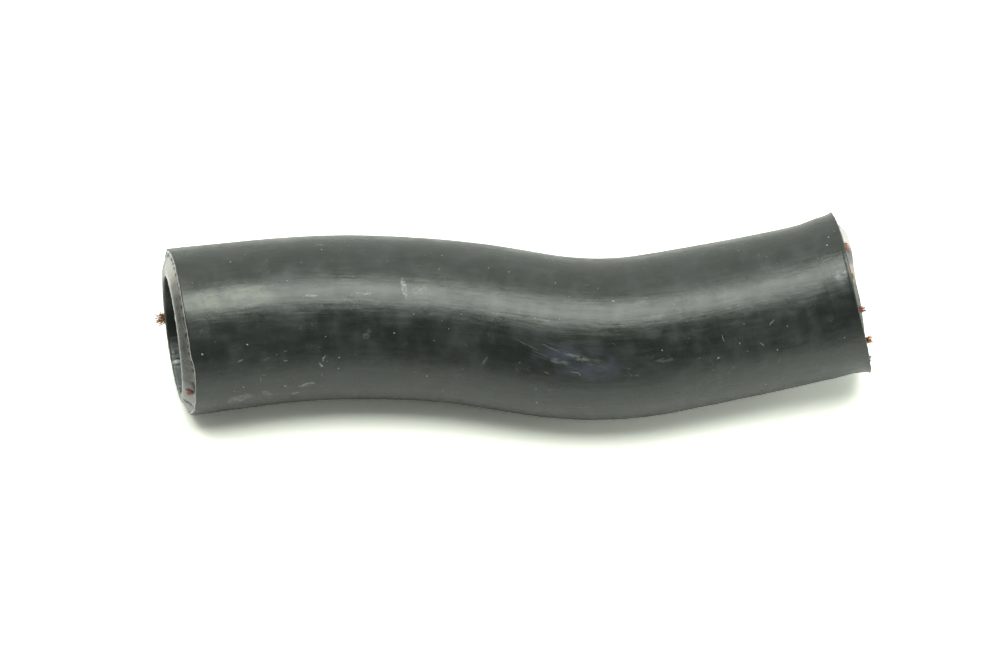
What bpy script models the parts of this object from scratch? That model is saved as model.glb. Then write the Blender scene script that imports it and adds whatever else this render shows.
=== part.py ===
"""A short moulded rubber coolant hose with two gentle bends, lying on a table.

The hose is one moulding: rings of one section are lofted along its run, round each cut end and
back through the bore. The cut ends show the wall: a cover, a ring of reinforcing yarn and a liner
that stands proud of the cover. Short ends of the yarn sit in pits round that ring.
The run goes from the left end to the right one, and +Y is the far side.
"""

import math
from collections import namedtuple

import bmesh
import bpy
from mathutils import Matrix, Vector

MM = 0.001

# Bore and wall. The bore narrows evenly from left to right, and the wall is thickest on top.
LEFT_BORE = 19.75 * MM
RIGHT_BORE = 18.25 * MM
WALL = 4.0 * MM
BORE_DROP = 0.4 * MM

# The run: two flat bends between legs, then a leg that curves up off the table.
LEFT_HEADING = math.radians(10.1)
LEFT_LEG = 12.1 * MM
FIRST_BEND_RADIUS = 107.0 * MM
FIRST_BEND_ANGLE = math.radians(22.6)
MIDDLE_LEG = 5.9 * MM
SECOND_BEND_RADIUS = 43.0 * MM
SECOND_BEND_ANGLE = math.radians(26.5)
RISING_LEG = 26.5 * MM
RISE_ANGLE = math.radians(8.0)
RISING_TURN = math.radians(-4.3)

# The right end is straight, and opens out a little towards its cut.
MOUTH_LENGTH = 9.0 * MM
MOUTH_FLARE = 0.5 * MM

# The cuts. Turn swings a cut about the upright and lean tips it, both from square to the run.
LEFT_CUT_TURN = math.radians(4.1)
LEFT_CUT_LEAN = math.radians(-3.0)
RIGHT_CUT_TURN = math.radians(-3.3)
RIGHT_CUT_LEAN = math.radians(5.5)
LEFT_LINER_PROUD = 1.15 * MM
RIGHT_LINER_PROUD = 0.3 * MM
RIGHT_LINER_TURN = math.radians(-1.3)
RIGHT_LINER_LEAN = math.radians(-3.4)

# The cut face, from the outside in: rounded lip, cover, sloping yarn ring, then the liner.
LIP_ROUND = 0.25 * MM
COVER_THICKNESS = 1.6 * MM
YARN_SLOPE = 1.2 * MM

# The reinforcing yarn. A yarn end sits in its pit with a clearance all round.
YARN_ROOT_DIAMETER = 0.5 * MM
YARN_TIP_DIAMETER = 0.8 * MM
YARN_CLEARANCE = 0.3 * MM
PIT_DEPTH = 0.9 * MM

# Faceting. An even number of quarter turns with half a step's turn leaves a flat underneath.
SIDES = 40
STATION_SPACING = 5.0 * MM
YARN_SIDES = 8
SHARP_EDGE = math.radians(30)

Station = namedtuple("Station", "centre side up ahead bore outer")
End = namedtuple("End", "station outward cut_normal liner_normal proud")
Yarn = namedtuple("Yarn", "name end angle length colour")

# Angles go round the section from the far side over the top, and lengths are from the cover.
YARNS = (
    Yarn("left_far_yarn", "left", math.radians(328), 2.3 * MM, "orange"),
    Yarn("left_low_yarn", "left", math.radians(187), 0.35 * MM, "pink"),
    Yarn("right_top_yarn", "right", math.radians(95), 0.8 * MM, "orange"),
    Yarn("right_face_yarn", "right", math.radians(120), 0.6 * MM, "brown"),
    Yarn("right_upper_yarn", "right", math.radians(148), 0.75 * MM, "pink"),
    Yarn("right_middle_yarn", "right", math.radians(176), 0.65 * MM, "orange"),
    Yarn("right_low_yarn", "right", math.radians(205), 0.5 * MM, "grey"),
)

YARN_COLOURS = {
    "orange": (0.55, 0.13, 0.05, 1.0),
    "pink": (0.62, 0.20, 0.17, 1.0),
    "brown": (0.22, 0.11, 0.07, 1.0),
    "grey": (0.40, 0.40, 0.38, 1.0),
}
YARN_ROUGHNESS = 0.9
RUBBER_COLOUR = (0.030, 0.034, 0.030, 1.0)
RUBBER_ROUGHNESS = 0.45


def clear_scene():
    for old in list(bpy.data.objects):
        bpy.data.objects.remove(old, do_unlink=True)


def make_material(name, colour, roughness):
    material = bpy.data.materials.new(name)
    material.use_nodes = True
    shader = material.node_tree.nodes["Principled BSDF"]
    shader.inputs["Base Color"].default_value = colour
    shader.inputs["Roughness"].default_value = roughness
    shader.inputs["Metallic"].default_value = 0.0
    return material


def make_collection(name):
    collection = bpy.data.collections.new(name)
    bpy.context.scene.collection.children.link(collection)
    return collection


def new_object(name, bm, collection, base, material=None):
    """The bmesh as an object under the base empty."""
    mesh = bpy.data.meshes.new(name)
    bm.to_mesh(mesh)
    bm.free()
    mesh.shade_smooth()
    mesh.set_sharp_from_angle(angle=SHARP_EDGE)
    if material:
        mesh.materials.append(material)
    made = bpy.data.objects.new(name, mesh)
    made.parent = base
    collection.objects.link(made)
    return made


def run_pieces():
    """(length, turn, climb) of each leg and bend, from the left end."""
    return (
        (LEFT_LEG, 0.0, 0.0),
        (FIRST_BEND_RADIUS * FIRST_BEND_ANGLE, -FIRST_BEND_ANGLE, 0.0),
        (MIDDLE_LEG, 0.0, 0.0),
        (SECOND_BEND_RADIUS * SECOND_BEND_ANGLE, SECOND_BEND_ANGLE, 0.0),
        (RISING_LEG, RISING_TURN, RISE_ANGLE),
        (MOUTH_LENGTH, 0.0, 0.0),
    )


def direction(heading, climb):
    level = math.cos(climb)
    return Vector((level * math.cos(heading), level * math.sin(heading), math.sin(climb)))


def make_station(place, heading, climb, distance, run_length):
    """The section at a distance along the run, its underside level with the run's height there."""
    ahead = direction(heading, climb)
    side = Vector((-math.sin(heading), math.cos(heading), 0.0))
    up = ahead.cross(side)
    bore = (LEFT_BORE + (RIGHT_BORE - LEFT_BORE) * distance / run_length) / 2
    into_mouth = max(0.0, distance - (run_length - MOUTH_LENGTH)) / MOUTH_LENGTH
    bore += MOUTH_FLARE * into_mouth**2
    outer = bore + WALL
    centre = place + up * outer * math.cos(math.pi / SIDES)
    return Station(centre, side, up, ahead, bore, outer)


def make_run():
    """Stations from the left end to the right, closer together than the station spacing."""
    pieces = run_pieces()
    run_length = sum(length for length, turn, climb in pieces)
    place = Vector((0.0, 0.0, 0.0))
    heading = LEFT_HEADING
    slope = 0.0
    distance = 0.0
    stations = [make_station(place, heading, slope, distance, run_length)]
    for length, turn, climb in pieces:
        steps = math.ceil(length / STATION_SPACING)
        half_turn = turn / steps / 2
        chord = length / steps
        if half_turn:
            chord *= math.sin(half_turn) / half_turn
        for _ in range(steps):
            place = place + direction(heading + half_turn, slope + climb / steps / 2) * chord
            heading += turn / steps
            slope += climb / steps
            distance += length / steps
            stations.append(make_station(place, heading, slope, distance, run_length))
    return stations


def swung(station, turn, lean):
    """The run's direction at a station, swung about the upright and tipped."""
    return station.ahead + station.side * math.tan(turn) + station.up * math.tan(lean)


def make_ends(stations):
    left, right = stations[0], stations[-1]
    left_cut = swung(left, LEFT_CUT_TURN, LEFT_CUT_LEAN)
    right_cut = swung(right, RIGHT_CUT_TURN, RIGHT_CUT_LEAN)
    right_liner = swung(
        right, RIGHT_CUT_TURN + RIGHT_LINER_TURN, RIGHT_CUT_LEAN + RIGHT_LINER_LEAN
    )
    return {
        "left": End(left, -1.0, left_cut, left_cut, LEFT_LINER_PROUD),
        "right": End(right, 1.0, right_cut, right_liner, RIGHT_LINER_PROUD),
    }


def ring(station, radius, drop=0.0, normal=None, shift=0.0):
    """The matrix that takes the unit circle to a ring round the run.

    The ring is slid along the run onto the plane with the given normal, which crosses the
    middle of the section at shift along the run.
    """
    normal = normal or station.ahead

    def slid(vector):
        return vector - station.ahead * (vector.dot(normal) / station.ahead.dot(normal))

    centre = station.centre + slid(station.up * -drop) + station.ahead * shift
    columns = (slid(station.side) * radius, slid(station.up) * radius, station.ahead, centre)
    matrix = Matrix.Identity(4)
    for index, column in enumerate(columns):
        matrix.col[index].xyz = column
    return matrix


def end_rings(end):
    """Rings round a cut end, from the outside wall to the bore."""
    station, outward = end.station, end.outward
    outer = station.outer
    yarn_foot = outer - COVER_THICKNESS
    liner_edge = yarn_foot - YARN_SLOPE
    proud = outward * end.proud
    return [
        ring(station, outer, 0.0, end.cut_normal, -outward * LIP_ROUND),
        ring(station, outer - LIP_ROUND, 0.0, end.cut_normal),
        ring(station, yarn_foot, 0.0, end.cut_normal),
        ring(station, liner_edge, 0.0, end.liner_normal, proud),
        ring(station, station.bore, BORE_DROP, end.liner_normal, proud),
    ]


def make_hose(stations, ends, collection, base, material):
    """The one closed moulding, lofted ring by ring."""
    between = stations[1:-1]
    rings = end_rings(ends["left"])[::-1]
    rings += [ring(station, station.outer) for station in between]
    rings += end_rings(ends["right"])
    rings += [ring(station, station.bore, BORE_DROP) for station in reversed(between)]

    bm = bmesh.new()
    half_step = Matrix.Rotation(math.pi / SIDES, 4, "Z")
    bmesh.ops.create_circle(bm, segments=SIDES, radius=1.0, matrix=rings[0] @ half_step)
    first_edges = bm.edges[:]
    last_edges = first_edges
    for before, after in zip(rings, rings[1:]):
        made = bmesh.ops.extrude_edge_only(bm, edges=last_edges)["geom"]
        new_verts = [item for item in made if isinstance(item, bmesh.types.BMVert)]
        new_edges = [item for item in made if isinstance(item, bmesh.types.BMEdge)]
        last_edges = [edge for edge in new_edges if edge.is_boundary]
        bmesh.ops.transform(bm, matrix=after @ before.inverted(), verts=new_verts)
    bmesh.ops.bridge_loops(bm, edges=first_edges + last_edges)
    bmesh.ops.recalc_face_normals(bm, faces=bm.faces)
    return new_object("hose", bm, collection, base, material)


def yarn_frame(end, angle):
    """Origin on the cover's cut, at the foot of the yarn ring, and +Z out along the run."""
    station = end.station
    radius = station.outer - COVER_THICKNESS
    on_cut = ring(station, radius, 0.0, end.cut_normal) @ Vector(
        (math.cos(angle), math.sin(angle), 0.0)
    )
    out = station.ahead * end.outward
    return Matrix.Translation(on_cut) @ out.to_track_quat("Z", "Y").to_matrix().to_4x4()


def add_rod(bm, frame, low, high, low_diameter, high_diameter):
    """A rod along the frame's Z, between two heights."""
    bmesh.ops.create_cone(
        bm,
        cap_ends=True,
        segments=YARN_SIDES,
        radius1=low_diameter / 2,
        radius2=high_diameter / 2,
        depth=high - low,
        matrix=frame @ Matrix.Translation((0.0, 0.0, (low + high) / 2)),
    )


def cut_yarn_pits(hose, ends, collection, base):
    """One blind pit for each yarn end, open through the sloping yarn ring."""
    bm = bmesh.new()
    pit_diameter = YARN_ROOT_DIAMETER + 2 * YARN_CLEARANCE
    above_face = max(LEFT_LINER_PROUD, RIGHT_LINER_PROUD) + 2 * WALL
    for yarn in YARNS:
        frame = yarn_frame(ends[yarn.end], yarn.angle)
        add_rod(bm, frame, -PIT_DEPTH, above_face, pit_diameter, pit_diameter)
    cutter = new_object("yarn_pit_cutter", bm, collection, base)
    cutter.hide_render = True
    cutter.display_type = "WIRE"
    cut = hose.modifiers.new("yarn_pits", "BOOLEAN")
    cut.operation = "DIFFERENCE"
    cut.solver = "EXACT"
    cut.object = cutter


def make_yarns(ends, collection, base):
    materials = {
        name: make_material("yarn_" + name, colour, YARN_ROUGHNESS)
        for name, colour in YARN_COLOURS.items()
    }
    for yarn in YARNS:
        bm = bmesh.new()
        frame = yarn_frame(ends[yarn.end], yarn.angle)
        root = YARN_CLEARANCE - PIT_DEPTH
        add_rod(bm, frame, root, yarn.length, YARN_ROOT_DIAMETER, YARN_TIP_DIAMETER)
        new_object(yarn.name, bm, collection, base, materials[yarn.colour])


def centre_on_table(base, collection):
    """Moves the base so that the object's box stands centred on the origin."""
    corners = [vert.co for made in collection.objects for vert in made.data.vertices]
    low = Vector(min(corner[axis] for corner in corners) for axis in range(3))
    high = Vector(max(corner[axis] for corner in corners) for axis in range(3))
    base.location = (-(low.x + high.x) / 2, -(low.y + high.y) / 2, -low.z)


def main():
    clear_scene()
    parts = make_collection("rubber_hose")
    cutters = make_collection("cutters")
    base = bpy.data.objects.new("hose_base", None)
    bpy.context.scene.collection.objects.link(base)
    stations = make_run()
    ends = make_ends(stations)
    rubber = make_material("black_rubber", RUBBER_COLOUR, RUBBER_ROUGHNESS)
    hose = make_hose(stations, ends, parts, base, rubber)
    cut_yarn_pits(hose, ends, cutters, base)
    make_yarns(ends, parts, base)
    centre_on_table(base, parts)


main()
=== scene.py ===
"""Looks of a short moulded rubber coolant hose that lies on a white table.

The hose follows the frame's run with a fine surface: slight hollows in the cover, worn cut ends
with a ring of yarn pits, and a liner that stands proud. Frayed tufts replace the plain yarn ends.
The run goes from the left end to the right one, and +Y is the far side.
"""

import math
import random
from collections import namedtuple

import bmesh
import bpy
from mathutils import Matrix, Vector, noise


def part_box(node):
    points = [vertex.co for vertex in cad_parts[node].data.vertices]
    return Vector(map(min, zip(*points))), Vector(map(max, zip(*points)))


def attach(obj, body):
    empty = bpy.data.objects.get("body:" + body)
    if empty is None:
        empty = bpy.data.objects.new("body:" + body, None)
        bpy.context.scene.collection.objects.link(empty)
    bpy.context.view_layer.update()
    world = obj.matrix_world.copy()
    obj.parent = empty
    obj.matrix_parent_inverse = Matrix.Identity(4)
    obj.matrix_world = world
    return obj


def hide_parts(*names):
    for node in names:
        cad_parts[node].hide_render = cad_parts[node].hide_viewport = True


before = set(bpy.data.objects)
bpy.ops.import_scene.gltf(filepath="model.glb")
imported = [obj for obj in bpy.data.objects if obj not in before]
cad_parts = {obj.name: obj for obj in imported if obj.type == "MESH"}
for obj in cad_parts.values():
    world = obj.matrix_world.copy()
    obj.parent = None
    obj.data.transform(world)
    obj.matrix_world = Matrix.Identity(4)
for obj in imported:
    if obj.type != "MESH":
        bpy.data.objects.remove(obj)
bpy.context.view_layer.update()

bl_info = {
    "name": "Moulded Rubber Hose",
    "version": (1, 0, 0),
    "blender": (4, 5, 0),
    "location": "3D View > Sidebar > Rubber Hose",
    "description": "Builds a worn moulded coolant hose with frayed cut ends",
    "category": "Mesh",
}

MM = 0.001

# The run, as the frame's solid follows it.
LEFT_HEADING = math.radians(10.1)
LEFT_LEG = 12.1 * MM
FIRST_BEND_RADIUS = 107.0 * MM
FIRST_BEND_ANGLE = math.radians(22.6)
MIDDLE_LEG = 5.9 * MM
SECOND_BEND_RADIUS = 43.0 * MM
SECOND_BEND_ANGLE = math.radians(26.5)
RISING_LEG = 26.5 * MM
RISE_ANGLE = math.radians(8.0)
RISING_TURN = math.radians(-4.3)
MOUTH_LENGTH = 9.0 * MM
MOUTH_FLARE = 0.5 * MM
BORE_DROP = 0.4 * MM
FRAME_SIDES = 40
UNDERSIDE_SHARE = math.cos(math.pi / FRAME_SIDES)

# The cuts. Turn swings a cut about the upright and lean tips it, both from square to the run.
LEFT_CUT_TURN = math.radians(4.1)
LEFT_CUT_LEAN = math.radians(-3.0)
RIGHT_CUT_TURN = math.radians(-3.3)
RIGHT_CUT_LEAN = math.radians(5.5)

# The fine surface. Sides go round the section, and steps along the run.
SIDES = 288
OUTER_STEP = 1.0 * MM
BORE_STEP = 3.0 * MM
STEP_SLACK = 0.9
TINY = 1e-9
CROWN_REACH = 30.0 * MM
SWELL_SCALE = 0.07
RIPPLE_SCALE = 0.22

# What each point of the mesh keeps for the finishes.
STRAIGHT_PLACE = "straight_place"
EDGE_WEAR_AND_HIGHLIGHT = "worn_edge"
HOLLOW = "hollow"

Station = namedtuple("Station", "centre side up ahead bore outer distance")
Ring = namedtuple("Ring", "station radius drop normal shift zone")
RimPoint = namedtuple("RimPoint", "angle offset")
Pit = namedtuple("Pit", "angle inset radius depth")
Lump = namedtuple("Lump", "angle inward radius height")
Laid = namedtuple("Laid", "ring inward liner_share worn", defaults=(0.0, 0.0, 0.0))

# Zones of the surface, each the number of its finish.
COVER, CUT_FACE, LINER_FACE, BORE = range(4)


def number_prop(name, description, default, **more):
    """A number that the sidebar shows."""
    return bpy.props.FloatProperty(name=name, description=description, default=default, **more)


def mm_prop(name, description, default):
    """A length that the sidebar shows in the scene's units."""
    return number_prop(name, description, default * MM, unit="LENGTH", precision=5)


def colour_prop(name, description, default):
    """A colour that the sidebar shows as a swatch."""
    return bpy.props.FloatVectorProperty(
        name=name, description=description, default=default, subtype="COLOR", min=0.0, max=1.0
    )


class HoseSizes(bpy.types.PropertyGroup):
    """Sizes of the hose's section, its cut ends and its wear."""

    left_bore: mm_prop("Left bore", "Bore diameter at the left end", 19.75)
    right_bore: mm_prop("Right bore", "Bore diameter before the right mouth", 18.25)
    wall: mm_prop("Wall", "Thickness of the wall", 4.0)
    cover: mm_prop("Cover", "Depth of the cover outside the yarn ring", 1.6)
    yarn_slope: mm_prop("Yarn slope", "Width of the sloping yarn ring", 1.2)
    left_proud: mm_prop("Left liner", "How far the liner stands out of the left cut", 1.15)
    right_proud: mm_prop("Right liner", "How far the liner stands out of the right cut", 0.1)
    lip_round: mm_prop("Lip", "Rounding of the cut edges", 0.25)
    swell: mm_prop("Swell", "Depth of the slow waves in the cover", 0.10)
    ripple: mm_prop("Ripple", "Depth of the short waves in the cover", 0.035)
    crown: mm_prop("Crown", "How far the left end's top swells", 0.25)
    fibre: mm_prop("Fibre", "Diameter of one yarn fibre", 0.12)


class HoseColours(bpy.types.PropertyGroup):
    """Colours of the rubber and the yarn."""

    rubber: colour_prop("Rubber", "Clean black rubber", (0.0070, 0.0095, 0.0072))
    bloom: colour_prop("Bloom", "Grey film on worn rubber", (0.028, 0.034, 0.029))
    haze: colour_prop("Haze", "Cool haze on worn rubber", (0.046, 0.052, 0.055))
    # Bore dust is dust in the left mouth and also the painted highlight on the lumps.
    haze_dust: colour_prop("Bore dust", "Bluish dust on lumps in the bore", (0.55, 0.60, 0.62))
    # Warm film is rubbed film and also painted highlight along the top of the cover.
    warm_film_and_highlight: colour_prop("Warm film", "Pale rubbed film on top", (0.13, 0.13, 0.100))
    dust: colour_prop("Dust", "Pale dust specks and scuffs", (0.42, 0.45, 0.43))
    blue_scuff: colour_prop("Scuff", "Bluish rubbed patch", (0.050, 0.055, 0.080))
    cut: colour_prop("Cut face", "Rubber laid bare by the cut", (0.10, 0.10, 0.088))
    # Cut shade gives the cut's dark flecks and also its painted shade: the right rim, the open yarn end
    # and the dark stretches.
    cut_dark: colour_prop("Cut shade", "Dark flecks in the cut face", (0.028, 0.029, 0.025))
    # Cut dust gives pale dust and also painted highlight: the lip's edge and the tops of the cuts, the
    # left top a painted reflection of the table.
    cut_pale: colour_prop("Cut dust", "Pale dusty stretches of the cut face", (0.50, 0.475, 0.46))
    # Cut brown is dirt and also painted shade in the pits and yarn holes.
    cut_brown: colour_prop("Cut brown", "Dirt round the yarn ends", (0.085, 0.050, 0.034))
    cut_violet: colour_prop("Cut violet", "Bluish bloom on the liner", (0.13, 0.13, 0.145))
    cut_rose: colour_prop("Cut rose", "Pinkish dust on the liner", (0.36, 0.27, 0.23))
    orange: colour_prop("Orange yarn", "Yarn at its brightest", (0.50, 0.19, 0.085))
    pink: colour_prop("Pink yarn", "Faded yarn", (0.48, 0.19, 0.17))
    brown: colour_prop("Brown yarn", "Dirty yarn", (0.24, 0.12, 0.07))
    grey: colour_prop("Grey yarn", "Bleached yarn", (0.42, 0.40, 0.38))


class StageSettings(bpy.types.PropertyGroup):
    """The table, the lamps and the camera."""

    table: colour_prop("Table", "Pale table top", (0.92, 0.92, 0.90))
    softbox: number_prop("Softbox", "Power of the lamp overhead in watts", 5.5, min=0.0)
    side_softbox: number_prop("Side softbox", "Power of the lamp at the right in watts", 1.5, min=0.0)
    elevation: number_prop(
        "Elevation", "Camera height above the table as an angle", math.radians(46.0), subtype="ANGLE"
    )
    camera_distance: number_prop("Camera distance", "From the lens to the aim", 0.45, unit="LENGTH")
    lens: number_prop("Lens", "Focal length in millimetres", 93.34, min=1.0)


# The run and its sections.


def run_pieces():
    """(length, turn, climb) of each leg and bend, from the left end."""
    return (
        (LEFT_LEG, 0.0, 0.0),
        (FIRST_BEND_RADIUS * FIRST_BEND_ANGLE, -FIRST_BEND_ANGLE, 0.0),
        (MIDDLE_LEG, 0.0, 0.0),
        (SECOND_BEND_RADIUS * SECOND_BEND_ANGLE, SECOND_BEND_ANGLE, 0.0),
        (RISING_LEG, RISING_TURN, RISE_ANGLE),
        (MOUTH_LENGTH, 0.0, 0.0),
    )


RUN_LENGTH = sum(length for length, turn, climb in run_pieces())


def direction(heading, climb):
    """The unit vector of a heading and a climb."""
    level = math.cos(climb)
    return Vector((level * math.cos(heading), level * math.sin(heading), math.sin(climb)))


def make_station(sizes, place, heading, climb, distance):
    """The section at a distance along the run, its underside at the run's height there."""
    ahead = direction(heading, climb)
    side = Vector((-math.sin(heading), math.cos(heading), 0.0))
    up = ahead.cross(side)
    bore = (sizes.left_bore + (sizes.right_bore - sizes.left_bore) * distance / RUN_LENGTH) / 2
    into_mouth = max(0.0, distance - (RUN_LENGTH - MOUTH_LENGTH)) / MOUTH_LENGTH
    bore += MOUTH_FLARE * into_mouth**2
    outer = bore + sizes.wall
    centre = place + up * outer * UNDERSIDE_SHARE
    return Station(centre, side, up, ahead, bore, outer, distance)


def make_run(sizes, start):
    """Stations from the left end to the right, a step apart or closer."""
    place = start.copy()
    heading = LEFT_HEADING
    slope = 0.0
    distance = 0.0
    stations = [make_station(sizes, place, heading, slope, distance)]
    for length, turn, climb in run_pieces():
        steps = math.ceil(length / OUTER_STEP)
        for _ in range(steps):
            middle = direction(heading + turn / steps / 2, slope + climb / steps / 2)
            place = place + middle * length / steps
            heading += turn / steps
            slope += climb / steps
            distance += length / steps
            stations.append(make_station(sizes, place, heading, slope, distance))
    return stations


def swung(station, turn, lean):
    """The run's direction at a station, swung about the upright and tipped."""
    return station.ahead + station.side * math.tan(turn) + station.up * math.tan(lean)


def ring_matrix(ring):
    """The matrix that takes the unit circle to a ring round the run, slid onto its cut."""
    station = ring.station
    normal = ring.normal or station.ahead

    def slid(vector):
        return vector - station.ahead * (vector.dot(normal) / station.ahead.dot(normal))

    centre = station.centre + slid(station.up * -ring.drop) + station.ahead * ring.shift
    columns = (
        slid(station.side) * ring.radius,
        slid(station.up) * ring.radius,
        station.ahead,
        centre,
    )
    matrix = Matrix.Identity(4)
    for index, column in enumerate(columns):
        matrix.col[index].xyz = column
    return matrix


def frame_start(sizes):
    """Where the run starts, so that the plain hose fills the frame's box."""
    low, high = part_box("hose")
    stations = make_run(sizes, Vector((0.0, 0.0, 0.0)))
    first, last = stations[0], stations[-1]
    left = Ring(first, first.outer - sizes.cover - sizes.yarn_slope, 0.0,
                swung(first, LEFT_CUT_TURN, LEFT_CUT_LEAN), -sizes.left_proud, LINER_FACE)
    circle = [Vector((math.cos(a), math.sin(a), 0.0)) for a in map(math.radians, range(360))]
    left_edge = min((ring_matrix(left) @ point).x for point in circle)
    sides = [Ring(s, s.outer, 0.0, None, 0.0, COVER) for s in stations]
    near_edge = min((ring_matrix(ring) @ point).y for ring in sides for point in circle[::3])
    return Vector((low.x - left_edge, low.y - near_edge, low.z))


# The hose's fine surface.


def rows_of(kind, *rows):
    """Rows of values as tuples of one kind."""
    return tuple(kind(*row) for row in rows)


def measured(kind, *rows):
    """Rows of an angle in degrees and sizes in millimetres, as tuples of one kind."""
    return tuple(kind(math.radians(angle), *(size * MM for size in sizes)) for angle, *sizes in rows)


# How far each cut's edge waves out of its plane, and how far the liner's does.
LEFT_RIM = measured(
    RimPoint, (40, 0.20), (80, -0.05), (125, 0.0), (148, -0.10), (164, -0.50), (185, -0.40),
    (203, -0.25), (224, 0.30), (250, 0.10), (320, 0.0),
)
RIGHT_RIM = measured(
    RimPoint, (45, 0.0), (90, 0.35), (112, 0.25), (140, 0.0), (175, 0.05), (225, 0.0), (310, 0.08)
)
LEFT_LINER = measured(RimPoint, (44, -0.10), (180, 0.10), (300, 0.05))
RIGHT_LINER = measured(RimPoint, (40, 0.55), (80, 1.40), (134, 0.60), (180, 0.05), (260, -0.30))

# The row of yarn ends that shows as pits in each cut face: angles, then insets in millimetres.
PitRow = namedtuple("PitRow", "seen least_inset most_inset seed")
LEFT_PIT_ROW = PitRow(
    tuple(map(math.radians, (78, 91, 103, 117, 125, 131, 137, 150))), 0.45, 0.95, 11
)
RIGHT_PIT_ROW = PitRow(
    tuple(map(math.radians, (52, 66, 80, 108, 134, 163, 190, 218))), 1.2, 1.7, 23
)
PIT_RADIUS = 0.36 * MM
PIT_DEPTH = 0.75 * MM
YARN_PIT_RADIUS = PIT_RADIUS * 1.4
PIT_RADIUS_SHARES = (0.55, 0.95)
PIT_DEPTH_SHARES = (0.4, 0.9)
HIDDEN_PIT_STEP = math.radians(14)
HIDDEN_PIT_SHIFT = 0.2

# A crevice and an open yarn end in the left face, and lumps of rubber just inside its bore.
LEFT_CREVICE = measured(
    Pit, (176, 1.15, 0.30, 0.45), (179, 1.05, 0.32, 0.65), (182, 0.95, 0.32, 0.70),
    (185, 0.90, 0.32, 0.70), (208, 2.20, 0.42, 0.60),
)
LEFT_LUMPS = measured(
    Lump, (286, 0.70, 0.85, 0.50), (297, 0.50, 0.42, 0.10), (252, 0.50, 0.40, 0.18),
    (243, 0.40, 0.30, 0.14),
)

# Rings near a cut: distances in from it outside and in the bore, and degrees round its lips.
COLLAR_SHIFTS = [size * MM for size in (3.0, 2.3, 1.7, 1.2, 0.8, 0.5)]
MOUTH_SHIFTS = [size * MM for size in (0.40, 0.55, 0.70, 0.90, 1.15, 1.5, 2.2, 3.5)]
LIP_TURNS = (0, 25, 50, 70, 90)
LIP_CUT_TURN = 50
INNER_LIP_TURNS = (30, 60, 90)
INNER_LIP_BORE_TURN = 60
FACE_START = 0.2 * MM
FACE_STEP = 0.16 * MM
FACE_START_WEAR = 0.6
LINER_SHARES = (0.0, 0.35, 0.7, 1.0)
PLAIN_FROM_END = 5.0 * MM
BURR_LENGTH = 1.7 * MM
BURR_HEIGHT = 0.22 * MM

# Depth and scale of the waves that the knife left in the cuts.
KNIFE_WAVES = ((0.06 * MM, 0.9), (0.03 * MM, 3.1))


def around(points, angle):
    """The offset at an angle, eased from each point of a closed list to the next."""
    full = 2 * math.pi
    for index, point in enumerate(points):
        following = points[(index + 1) % len(points)]
        span = (following.angle - point.angle) % full
        ahead = (angle - point.angle) % full
        if ahead <= span:
            share = (1 - math.cos(math.pi * ahead / span)) / 2
            return point.offset + (following.offset - point.offset) * share
    return 0.0


def turn_between(first, second):
    """The shorter turn from the second angle to the first."""
    return (first - second + math.pi) % (2 * math.pi) - math.pi


def make_pits(sizes, row, yarn_angles):
    """The pits of one cut: those that show, then an even row round the hidden side."""
    chance = random.Random(row.seed)
    pits = [Pit(angle, sizes.cover, YARN_PIT_RADIUS, PIT_DEPTH) for angle in yarn_angles]
    angles = list(row.seen)
    angle = row.seen[-1] + HIDDEN_PIT_STEP
    while angle < row.seen[0] + 2 * math.pi - HIDDEN_PIT_STEP / 2:
        shift = chance.uniform(-HIDDEN_PIT_SHIFT, HIDDEN_PIT_SHIFT)
        angles.append(angle + shift * HIDDEN_PIT_STEP)
        angle += HIDDEN_PIT_STEP
    for angle in angles:
        inset = chance.uniform(row.least_inset, row.most_inset) * MM
        radius = PIT_RADIUS * chance.uniform(*PIT_RADIUS_SHARES)
        pits.append(Pit(angle, inset, radius, PIT_DEPTH * chance.uniform(*PIT_DEPTH_SHARES)))
    return pits


END_PARTS = "sizes station outward normal proud slope rim liner pits lumps"


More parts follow.
